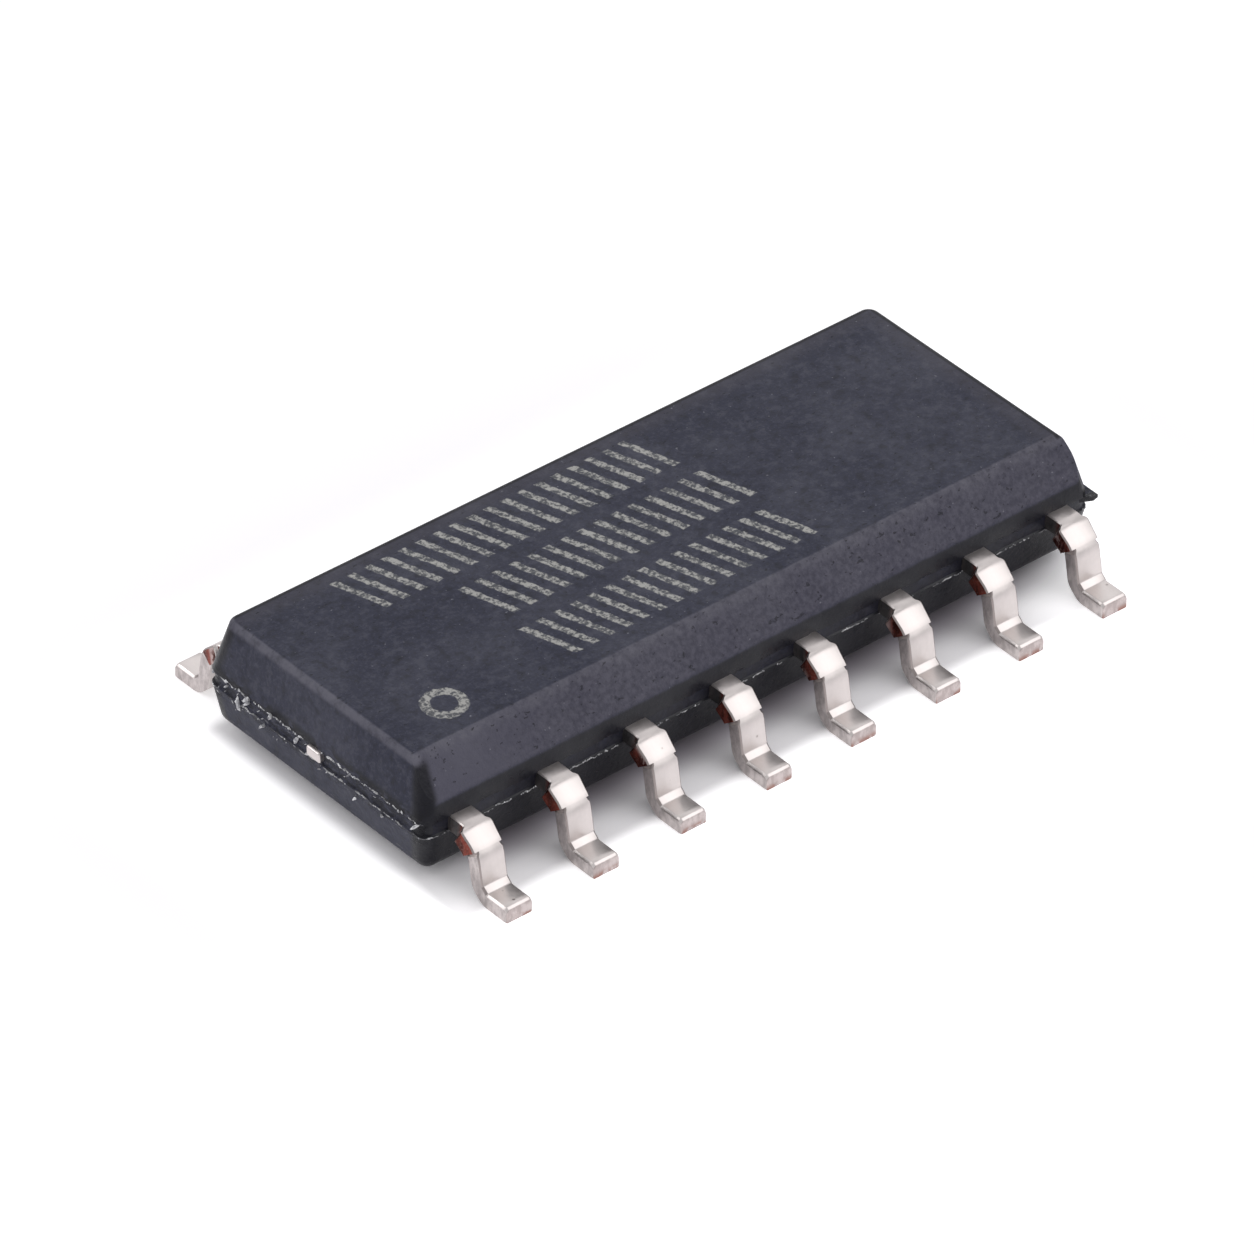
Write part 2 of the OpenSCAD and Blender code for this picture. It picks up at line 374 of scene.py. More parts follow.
def cut_bevel(form):
    """Cuts the bevel off the long edge over leads 1 to 8, then rounds its upper and lower edges by cuts
    at the angles in between."""
    planes = [(BEVEL_LOW, BEVEL_NORMAL)]
    wall_normal = Vector((0, -math.cos(DRAFT), math.sin(DRAFT)))
    upper_edge = (BEVEL_LOW + BEVEL_SLOPE, Vector((0, 0, 1)), BEVEL_NORMAL, BEVEL_TOP_ROUND)
    lower_edge = (BEVEL_LOW, BEVEL_NORMAL, wall_normal, BEVEL_LOW_ROUND)
    for edge, before, after, radius in (upper_edge, lower_edge):
        centre = edge - (before + after).normalized() * radius / math.cos(before.angle(after) / 2)
        for step in range(1, ROUND_STEPS):
            normal = before.slerp(after, step / ROUND_STEPS)
            planes.append((centre + normal * radius, normal))
    for place, normal in planes:
        geometry = form.verts[:] + form.edges[:] + form.faces[:]
        cut = bmesh.ops.bisect_plane(form, geom=geometry, plane_co=place, plane_no=normal,
                                     clear_outer=True)
        rim = [part for part in cut["geom_cut"] if isinstance(part, bmesh.types.BMEdge)]
        bmesh.ops.holes_fill(form, edges=rim, sides=0)


def broken_ledge(form, side):
    """The plate of flash left on the +X end on one side of the tie bar, torn along its edges; it tapers
    out where it wraps round the corner."""
    start = TIE_WIDTH / 2 + LEDGE_GAP
    reach = WALL_Y + LEDGE - LEDGE_WOBBLE
    outer = END_X + LEDGE - LEDGE_WOBBLE
    rings = []
    for k in range(LEDGE_PIECES + 1):
        y = start + (reach - start) * k / LEDGE_PIECES
        past = max(y - WALL_Y + 0.04, 0) / (LEDGE + 0.04)
        inner = END_X - LEDGE_WRAP * (1 - past)
        ring = []
        for x, z in ((inner, FRAME_TOP - LEDGE_THICKNESS), (outer, FRAME_TOP - LEDGE_THICKNESS + 0.02),
                     (outer, FRAME_TOP - 0.02), (inner, FRAME_TOP - LEDGE_WOBBLE)):
            push = noise.noise_vector(Vector((x * 3, side * y * 6, z * 4))) * LEDGE_WOBBLE
            ring.append((x + push.x, side * y, z + push.z))
        rings.append(ring)
    loft(form, rings)


def moulding_mesh():
    form = bmesh.new()
    lower = half_rings(FRAME_BOTTOM - BOTTOM, LOW_DRAFT, LOW_EDGE, LOW_CORNER)
    upper = half_rings(TOP - FRAME_TOP, DRAFT, TOP_EDGE, CORNER)
    rings = [ring_points(FRAME_BOTTOM - depth, inset, radius) for depth, inset, radius in reversed(lower)]
    rings += [ring_points(height, inset, CORNER, chips) for height, inset, chips in BAND]
    rings += [ring_points(FRAME_TOP + depth, inset, radius) for depth, inset, radius in upper]
    loft(form, rings)
    cut_bevel(form)
    # without a seed, noise_vector takes its offsets from the clock
    noise.seed_set(LEDGE_SEED)
    for side in (-1, 1):
        broken_ledge(form, side)
    return finished_mesh(form, "moulding", 28)


# ---------- leads ----------

Station = namedtuple("Station", "out height slope left right roll bare drop",
                     defaults=(EDGE_ROLL, False, 0.0))

# inwards and down, the points of a rounded chamfer of size 1
CHAMFER = ((0.0, 1.0), (0.06, 0.84), (0.2, 0.66), (0.66, 0.2), (0.84, 0.06), (1.0, 0.0))


def bend(corner, before, after, radius, steps):
    """Places along one bend of the middle line: distance out, height and slope."""
    reach = radius * math.tan(abs(after - before) / 2)
    turn = math.copysign(radius, after - before)
    out = corner.x - reach * math.cos(before) - turn * math.sin(before)
    height = corner.y + reach * math.sin(before) - turn * math.cos(before)
    slopes = [before + (after - before) * step / steps for step in range(steps + 1)]
    return [(out + turn * math.sin(slope), height + turn * math.cos(slope), slope) for slope in slopes]


def lead_stations():
    """Stations along the middle of the folded sheet. The forming tool leaves a flat in the middle of the
    shoulder and of the heel."""
    downwards = Vector((math.cos(LEG_SLOPE), -math.sin(LEG_SLOPE)))
    heel = Vector((SPAN / 2 - SOLE - HEEL_RADIUS * math.tan(LEG_SLOPE / 2), SHEET / 2))
    shoulder = heel - downwards * (FRAME_MIDDLE - SHEET / 2) / math.sin(LEG_SLOPE)
    shoulder_low = shoulder + downwards * SHOULDER_FLAT
    heel_high = heel - downwards * HEEL_FLAT
    half = LEAD_WIDTH / 2 - SHEARED_OFF
    neck = half - NECK
    stations = []
    for out in (WALL_Y - 0.2, WALL_Y - 0.05, WALL_Y + 0.04):
        stations.append(Station(out, FRAME_MIDDLE, 0.0, neck, neck, bare=True))
    upper_bend = bend(shoulder - Vector((SHOULDER_FLAT, 0)), 0.0, FLAT_SLOPE, SHOULDER_BEND, 8)
    for place, share in zip(upper_bend, (0, 0, 0, 0, 0.15, 0.6, 0.9, 1, 1)):
        left = neck + (half + DAM_STUB - neck) * share
        right = neck + (half + STUB_RIGHT - neck) * share
        stations.append(Station(*place, left, right, bare=True))
    lower_bend = bend(shoulder_low, FLAT_SLOPE, LEG_SLOPE, LEG_BEND, 8)
    for place in lower_bend[:4]:
        stations.append(Station(*place, half + DAM_STUB - 0.01, half + STUB_RIGHT - 0.01, bare=True))
    for place, nick in zip(lower_bend[3:], (0.025, 0.018, 0, 0, 0, 0)):
        stations.append(Station(*place, half - nick, half - nick))
    leg_start = Vector(lower_bend[-1][:2])
    heel_bends = bend(heel_high, LEG_SLOPE, FLAT_SLOPE, HEEL_BEND, 6)
    heel_bends += bend(heel + Vector((HEEL_FLAT, 0)), FLAT_SLOPE, 0.0, HEEL_BEND, 6)
    leg_end = Vector(heel_bends[0][:2])
    for share in (0.3, 0.6, 0.9):
        stations.append(Station(*leg_start.lerp(leg_end, share), LEG_SLOPE, half, half))
    for step, place in enumerate(heel_bends):
        roll = EDGE_ROLL + (SOLE_ROLL - EDGE_ROLL) * step / len(heel_bends)
        stations.append(Station(*place, half, half, roll))
    for back in (0.2, 0.1):
        stations.append(Station(SPAN / 2 - back, SHEET / 2, 0.0, half, half, SOLE_ROLL))
    for inwards, down in reversed(CHAMFER):
        stations.append(Station(SPAN / 2 - TIP_BEVEL * inwards, SHEET / 2, 0.0, half - 0.008 * down,
                                half - 0.008 * down, SOLE_ROLL, False, TIP_BEVEL * down))
    return stations


def section_points(station):
    """The lead's section, anticlockwise from the lower left: sharp below, chamfered above."""
    lower = LOWER_ROLL
    top = SHEET / 2 - station.drop
    flare = STUB_FLARE if station.bare else 0.0
    left = station.left + flare
    right = station.right + flare
    points = [(-left, -SHEET / 2 + lower), (-left + lower / 3, -SHEET / 2 + lower / 3),
              (-left + lower, -SHEET / 2), (right - lower, -SHEET / 2),
              (right - lower / 3, -SHEET / 2 + lower / 3), (right, -SHEET / 2 + lower)]
    points += [(station.right - station.roll * inwards, top - station.roll * down)
               for inwards, down in CHAMFER]
    points += [(-station.left + station.roll * inwards, top - station.roll * down)
               for inwards, down in reversed(CHAMFER)]
    return points


def lead_mesh():
    """One folded lead, reaching towards -Y from the middle of the package."""
    form = bmesh.new()
    stations = lead_stations()
    rings = []
    for station in stations:
        ring = []
        for across, up in section_points(station):
            ring.append((across, -(station.out + up * math.sin(station.slope)),
                         station.height + up * math.cos(station.slope)))
        rings.append(ring)
    rows = loft(form, rings)
    length = [0.0]
    for before, after in zip(stations, stations[1:]):
        length.append(length[-1] + math.hypot(after.out - before.out, after.height - before.height))
    around = [0.0]
    outline = section_points(stations[0])
    for before, after in zip(outline, outline[1:] + outline[:1]):
        around.append(around[-1] + math.hypot(after[0] - before[0], after[1] - before[1]))
    station_of = {vert: k for k, row in enumerate(rows) for vert in row}
    place_of = {vert: j for row in rows for j, vert in enumerate(row)}
    grain = form.loops.layers.uv.new("grain")
    bare_layer = form.faces.layers.float.new("bare")
    sheared_layer = form.faces.layers.float.new("sheared")
    rim_layer = form.faces.layers.float.new("rim")
    count = len(outline)
    for face in form.faces:
        places = [place_of[vert] for vert in face.verts]
        wraps = max(places) - min(places) > count / 2 and len(places) == 4
        for corner in face.loops:
            place = place_of[corner.vert]
            across = around[count] if wraps and place == 0 else around[place]
            corner[grain].uv = (across, length[station_of[corner.vert]])
        touched = {station_of[vert] for vert in face.verts}
        face.normal_update()
        sideways = abs(face.normal.x) > 0.8
        cut = all(stations[k].bare for k in touched) and sideways
        steep = all(stations[k].slope > FLAT_SLOPE / 2 for k in touched)
        chamfered = min(places) > 5 and abs(face.normal.x) > 0.3
        face[bare_layer] = 1.0 if cut else 0.0
        face[sheared_layer] = 1.0 if sideways else 0.0
        face[rim_layer] = 1.0 if steep and chamfered and not sideways else 0.0
    return finished_mesh(form, "lead_blank", 26)


# ---------- Geometry Nodes helpers ----------

class Recipe:
    """A Geometry Nodes tree with named inputs."""

    def __init__(self, name, inputs):
        self.tree = bpy.data.node_groups.new(name, "GeometryNodeTree")
        self.tree.interface.new_socket("Geometry", in_out="OUTPUT", socket_type="NodeSocketGeometry")
        for label, kind in inputs:
            self.tree.interface.new_socket(label, in_out="INPUT", socket_type="NodeSocket" + kind)
        self.inputs = self.node("NodeGroupInput").outputs
        self.output = self.node("NodeGroupOutput").inputs[0]

    def node(self, kind, links=None, **settings):
        made = self.tree.nodes.new(kind)
        for key, value in settings.items():
            setattr(made, key, value)
        for name, value in (links or {}).items():
            socket = made.inputs[name]
            if isinstance(value, bpy.types.Node):
                value = value.outputs[0]
            if isinstance(value, bpy.types.NodeSocket):
                self.tree.links.new(value, socket)
            else:
                socket.default_value = value
        return made

    def math(self, operation, *values):
        return self.node("ShaderNodeMath", dict(enumerate(values)), operation=operation)

    def vector_math(self, operation, *values):
        return self.node("ShaderNodeVectorMath", dict(enumerate(values)), operation=operation)

    def random_vector(self, low, high, seed):
        return self.node("FunctionNodeRandomValue", {0: low, 1: high, "Seed": seed},
                         data_type="FLOAT_VECTOR")

    def join(self, *parts):
        made = self.node("GeometryNodeJoinGeometry")
        for part in parts:
            self.tree.links.new(part.outputs[0], made.inputs[0])
        return made

    def finish(self, geometry, material, selected=None):
        """Realizes the instances, sets the material, and a second one on the selected faces."""
        real = self.node("GeometryNodeRealizeInstances", {"Geometry": geometry})
        last = self.node("GeometryNodeSetMaterial", {"Geometry": real, "Material": material})
        if selected:
            attribute, other = selected
            named = self.node("GeometryNodeInputNamedAttribute", {"Name": attribute}, data_type="FLOAT")
            last = self.node("GeometryNodeSetMaterial",
                             {"Geometry": last, "Selection": named, "Material": other})
        self.tree.links.new(last.outputs[0], self.output)

    def make(self, name, values):
        """Runs the recipe with its inputs set and returns the plain mesh that comes out."""
        holder = put_in_scene(name + "_recipe", bpy.data.meshes.new(name + "_recipe"))
        modifier = holder.modifiers.new("recipe", "NODES")
        modifier.node_group = self.tree
        for item in self.tree.interface.items_tree:
            if item.in_out == "INPUT" and item.name in values:
                modifier[item.identifier] = values[item.name]
        holder.update_tag()
        seen = bpy.context.evaluated_depsgraph_get()
        mesh = bpy.data.meshes.new_from_object(holder.evaluated_get(seen), depsgraph=seen)
        mesh.name = name
        bpy.data.objects.remove(holder)
        return mesh


def lead_rows(plated, cut_copper):
    """Both rows of leads, each lead a copy of one blank on the pitch."""
    blank = put_in_scene("lead_blank", lead_mesh())
    recipe = Recipe("lead_rows", (("Blank", "Object"), ("Leads in a row", "Int"), ("First place", "Vector"),
                                  ("Spacing", "Vector"), ("Looseness", "Vector"), ("Seed", "Int")))
    given = recipe.inputs
    blank_info = recipe.node("GeometryNodeObjectInfo", {"Object": given["Blank"]})
    opposite = recipe.vector_math("MULTIPLY", given["Looseness"], (-1.0, -1.0, -1.0))
    rows = []
    for turn, shift in ((0.0, 0), (math.pi, 1)):
        line = recipe.node("GeometryNodeMeshLine",
                           {"Count": given["Leads in a row"], "Start Location": given["First place"],
                            "Offset": given["Spacing"]}, mode="OFFSET")
        seed = recipe.math("ADD", given["Seed"], float(shift))
        loose = recipe.random_vector(opposite, given["Looseness"], seed)
        moved = recipe.node("GeometryNodeSetPosition", {"Geometry": line, "Offset": loose})
        row = recipe.node("GeometryNodeInstanceOnPoints",
                          {"Points": moved, "Instance": blank_info.outputs["Geometry"]})
        turned = recipe.node("GeometryNodeTransform", {"Geometry": row, "Rotation": (0.0, 0.0, turn)})
        rows.append(turned)
    recipe.finish(recipe.join(*rows), plated, ("bare", cut_copper))
    mesh = recipe.make("leads", {
        "Blank": blank,
        "Leads in a row": PER_SIDE,
        "First place": metres(-(PER_SIDE - 1) / 2 * SPACING, 0, 0),
        "Spacing": metres(SPACING, 0, 0),
        "Looseness": metres(0.006, 0, 0),
        "Seed": 4,
    })
    bpy.data.objects.remove(blank)
    return mesh


def flash_lines(name, material, lump_material, height, inset, values):
    """Broken threads of flash, with lumps on them, along a parting line right round the body."""
    recipe = Recipe(name, (("Length", "Float"), ("Width", "Float"), ("Corner", "Float"), ("Height", "Float"),
                           ("Kept from", "Float"), ("Breaks", "Float"), ("Thickness", "Float"),
                           ("Lump size", "Float"), ("Step", "Float"), ("Seed", "Int")))
    given = recipe.inputs
    outline = recipe.node("GeometryNodeCurvePrimitiveQuadrilateral",
                          {"Width": given["Length"], "Height": given["Width"]})
    rounded = recipe.node("GeometryNodeFilletCurve",
                          {"Curve": outline, "Radius": given["Corner"], "Count": 6}, mode="POLY")
    fine = recipe.node("GeometryNodeResampleCurve", {"Curve": rounded, "Length": given["Step"]},
                       mode="LENGTH")
    line = recipe.node("GeometryNodeCurveToMesh", {"Curve": fine})

    # the thread is broken where a slow noise is low, and left out along the middle of the long sides
    place = recipe.node("GeometryNodeInputPosition")
    scaled = recipe.node("ShaderNodeVectorMath", {0: place, "Scale": 1 / MM}, operation="SCALE")
    slow = recipe.node("ShaderNodeTexNoise", {"Vector": scaled, "W": given["Seed"], "Scale": 4.0,
                                              "Detail": 3.0}, noise_dimensions="4D")
    thin = recipe.node("FunctionNodeCompare", {0: slow, 1: given["Breaks"]}, data_type="FLOAT",
                       operation="LESS_THAN")
    split = recipe.node("ShaderNodeSeparateXYZ", {0: place})
    reach = recipe.math("ABSOLUTE", split)
    middle = recipe.node("FunctionNodeCompare", {0: reach, 1: given["Kept from"]}, data_type="FLOAT",
                         operation="LESS_THAN")
    gone = recipe.node("FunctionNodeBooleanMath", {0: thin, 1: middle}, operation="OR")
    broken = recipe.node("GeometryNodeDeleteGeometry", {"Geometry": line, "Selection": gone})
    threads = recipe.node("GeometryNodeMeshToCurve", {"Mesh": broken})

    # a quick noise moves it up and down and makes it thick and thin
    quick = recipe.node("ShaderNodeTexNoise", {"Vector": scaled, "W": given["Seed"], "Scale": 17.0,
                                               "Detail": 3.0}, noise_dimensions="4D")
    centred = recipe.vector_math("ADD", quick.outputs["Color"], (-0.5, -0.5, -0.5))
    push = recipe.vector_math("MULTIPLY", centred, (0.02 * MM, 0.02 * MM, 0.09 * MM))
    lift = recipe.node("ShaderNodeCombineXYZ", {"Z": given["Height"]})
    offset = recipe.vector_math("ADD", push, lift)
    moved = recipe.node("GeometryNodeSetPosition", {"Geometry": threads, "Offset": offset})
    width = recipe.node("ShaderNodeMapRange", {"Value": quick, "From Min": 0.35, "From Max": 0.65,
                                               "To Min": 0.3, "To Max": 1.6})
    profile = recipe.node("GeometryNodeCurvePrimitiveCircle",
                          {"Resolution": 6, "Radius": given["Thickness"]}, mode="RADIUS")
    thread = recipe.node("GeometryNodeCurveToMesh",
                         {"Curve": moved, "Fill Caps": True, "Profile Curve": profile, "Scale": width})

    # lumps where the resin broke off thick
    points = recipe.node("GeometryNodeCurveToPoints", {"Curve": moved, "Length": given["Step"]},
                         mode="LENGTH")
    lump = recipe.node("GeometryNodeMeshIcoSphere", {"Radius": given["Lump size"], "Subdivisions": 2})
    some = recipe.node("FunctionNodeRandomValue", {"Probability": 0.4, "Seed": given["Seed"]},
                       data_type="BOOLEAN")
    size = recipe.random_vector((0.3, 0.3, 0.3), (1.5, 0.9, 1.0), given["Seed"])
    turn = recipe.random_vector((0.0, 0.0, 0.0), (1.0, 1.0, 1.0), given["Seed"])
    marked = recipe.node("GeometryNodeStoreNamedAttribute",
                         {"Geometry": lump, "Name": "lump", "Value": 1.0}, data_type="FLOAT",
                         domain="FACE")
    lumps = recipe.node("GeometryNodeInstanceOnPoints",
                        {"Points": points, "Selection": some.outputs[3], "Instance": marked,
                         "Scale": size, "Rotation": turn})
    recipe.finish(recipe.join(thread, lumps), material, ("lump", lump_material))
    return recipe.make(name, {
        "Length": 2 * (END_X - inset) * MM,
        "Width": 2 * (WALL_Y - inset) * MM,
        "Corner": (CORNER - inset) * MM,
        "Height": height * MM,
        "Step": 0.03 * MM,
    } | values)


def wall_chips(name, material, values):
    """Crumbs of pale resin that cling to one end of the body, thickest along the upright band."""
    recipe = Recipe(name, (("Turn", "Vector"), ("Width", "Float"), ("Low", "Float"), ("High", "Float"),
                           ("Count per area", "Float"), ("Crumb size", "Float"), ("Seed", "Int")))
    given = recipe.inputs
    depth = recipe.math("SUBTRACT", given["High"], given["Low"])
    sheet = recipe.node("GeometryNodeMeshGrid", {"Size X": given["Width"], "Size Y": depth,
                                                 "Vertices X": 41, "Vertices Y": 5})
    spot = recipe.node("GeometryNodeInputPosition")
    spot_split = recipe.node("ShaderNodeSeparateXYZ", {0: spot})
    thinning = recipe.node("ShaderNodeMapRange",
                           {"Value": spot_split, "From Min": -0.3 * MM, "From Max": 0.5 * MM,
                            "To Min": 1.0, "To Max": 0.4})
    density = recipe.math("MULTIPLY", thinning, given["Count per area"])
    points = recipe.node("GeometryNodeDistributePointsOnFaces",
                         {"Mesh": sheet, "Density": density, "Seed": given["Seed"]})
    size = recipe.node("FunctionNodeRandomValue", {2: 0.0, 3: 1.0, "Seed": given["Seed"]},
                       data_type="FLOAT")
    cubed = recipe.math("POWER", size.outputs[1], 2.5)
    scale = recipe.node("ShaderNodeMapRange", {"Value": cubed, "To Min": 0.3, "To Max": 1.6})
    turn = recipe.random_vector((0.0, 0.0, 0.0), (3.0, 3.0, 3.0), given["Seed"])
    crumb = recipe.node("GeometryNodeMeshIcoSphere", {"Radius": given["Crumb size"], "Subdivisions": 2})
    spread = recipe.node("GeometryNodeInputPosition")
    broken = recipe.node("ShaderNodeTexNoise", {"Vector": spread, "Scale": 0.05 / MM ** 2, "Detail": 2.0})
    bumps = recipe.vector_math("ADD", broken.outputs["Color"], (-0.5, -0.5, -0.5))
    rough = recipe.node("ShaderNodeVectorMath", {0: bumps, "Scale": 0.05 * MM}, operation="SCALE")
    ragged = recipe.node("GeometryNodeSetPosition", {"Geometry": crumb, "Offset": rough})
    long_crumb = recipe.node("GeometryNodeTransform", {"Geometry": ragged, "Scale": (1.8, 0.7, 0.5)})
    crumbs = recipe.node("GeometryNodeInstanceOnPoints",
                         {"Points": points, "Instance": long_crumb, "Scale": scale, "Rotation": turn})
    real = recipe.node("GeometryNodeRealizeInstances", {"Geometry": crumbs})

    # the sheet lies flat: stand it up on the +X end wall, which leans in below the leadframe
    place = recipe.node("GeometryNodeInputPosition")
    split = recipe.node("ShaderNodeSeparateXYZ", {0: place})
    half = recipe.math("ADD", given["High"], given["Low"])
    centre = recipe.math("MULTIPLY", half, 0.5)
    height = recipe.math("ADD", split.outputs[1], centre)
    below = recipe.math("SUBTRACT", FRAME_BOTTOM * MM, height)
    lean = recipe.math("MAXIMUM", below, 0.0)
    inwards = recipe.math("MULTIPLY", lean, math.tan(DRAFT))
    wall = recipe.math("SUBTRACT", END_X * MM, inwards)
    thick = recipe.math("ADD", wall, split.outputs[2])
    stood = recipe.node("ShaderNodeCombineXYZ", {"X": thick, "Y": split, "Z": height})
    upright = recipe.node("GeometryNodeSetPosition", {"Geometry": real, "Position": stood})
    turned = recipe.node("GeometryNodeTransform", {"Geometry": upright, "Rotation": given["Turn"]})
    recipe.finish(turned, material)
    return recipe.make(name, values)


def paddle_mesh():
    """The paddle on its two tie bars, whose stubs were cut from below and are worn round."""
    form = bmesh.new()
    foot = PADDLE_LENGTH / 2
    low = PADDLE_BOTTOM
    cut = FRAME_MIDDLE - 0.03
    inner = END_X - 0.1
    half_profile = ((inner, FRAME_BOTTOM), (END_X, FRAME_BOTTOM + 0.04), (TIE_END, cut),
                    (TIE_END, FRAME_TOP), (inner, FRAME_TOP), (foot + RAMP, FRAME_TOP), (foot, low + SHEET))
    profile = [(foot + RAMP, FRAME_BOTTOM), *half_profile]
    profile += [(-x, z) for x, z in reversed(half_profile)]
    profile += [(-foot - RAMP, FRAME_BOTTOM), (-foot, low), (foot, low)]
    bar = form.faces.new([form.verts.new((x, -TIE_WIDTH / 2, z)) for x, z in profile])
    grown = bmesh.ops.extrude_face_region(form, geom=[bar])
    moved = [part for part in grown["geom"] if isinstance(part, bmesh.types.BMVert)]
    bmesh.ops.translate(form, verts=moved, vec=(0, TIE_WIDTH, 0))
    for vert in form.verts:
        if abs(vert.co.x) > inner + 0.001:
            vert.co.y -= 0.03
    stub_edges = [edge for edge in form.edges if all(abs(vert.co.x) > inner - 0.001 for vert in edge.verts)
                  and any(abs(vert.co.x) > inner + 0.001 for vert in edge.verts)]
    bmesh.ops.bevel(form, geom=stub_edges, offset=0.04, segments=5, profile=0.5, affect="EDGES",
                    clamp_overlap=True)
    plate = bmesh.ops.create_cube(form, size=1.0)["verts"]
    bmesh.ops.scale(form, verts=plate, vec=(PADDLE_LENGTH, PADDLE_WIDTH, SHEET))
    bmesh.ops.translate(form, verts=plate, vec=(0, 0, low + SHEET / 2))
    return finished_mesh(form, "paddle", 40)


# ---------- finishes ----------

ROWS = ((1.16, -3.125, 1.375), (0.16, -2.375, 1.375), (-0.86, -2.625, 1.125))
ROW_HEIGHT = 0.74
STROKE = 0.1
HATCH_SPACING = 0.25
HATCH_LEAN = 0.3
RING_PLACE = (-3.919, -1.018)
RING_RADIUS = 0.222
RING_STROKE = 0.125


def etched_distance(finish):
    """Distance from the edge of the etched strokes on the top face, negative inside them: a ring
    beside lead 1 and three rows of plain hatching."""
    x, y, _ = finish.split(finish.place)
    from_ring = finish.math("SQRT", (x - RING_PLACE[0]) ** 2.0 + (y - RING_PLACE[1]) ** 2.0)
    nearest = abs(from_ring - RING_RADIUS) - RING_STROKE / 2
    along = x + y * HATCH_LEAN
    across = finish.math("PINGPONG", along, HATCH_SPACING / 2)
    stroke = across - STROKE / 2
    for middle, start, end in ROWS:
        above = abs(y - middle) - ROW_HEIGHT / 2
        beside = abs(along - (start + end) / 2) - (end - start) / 2
        field = finish.larger(above, beside)
        nearest = finish.smaller(nearest, finish.larger(field, stroke))
    return nearest


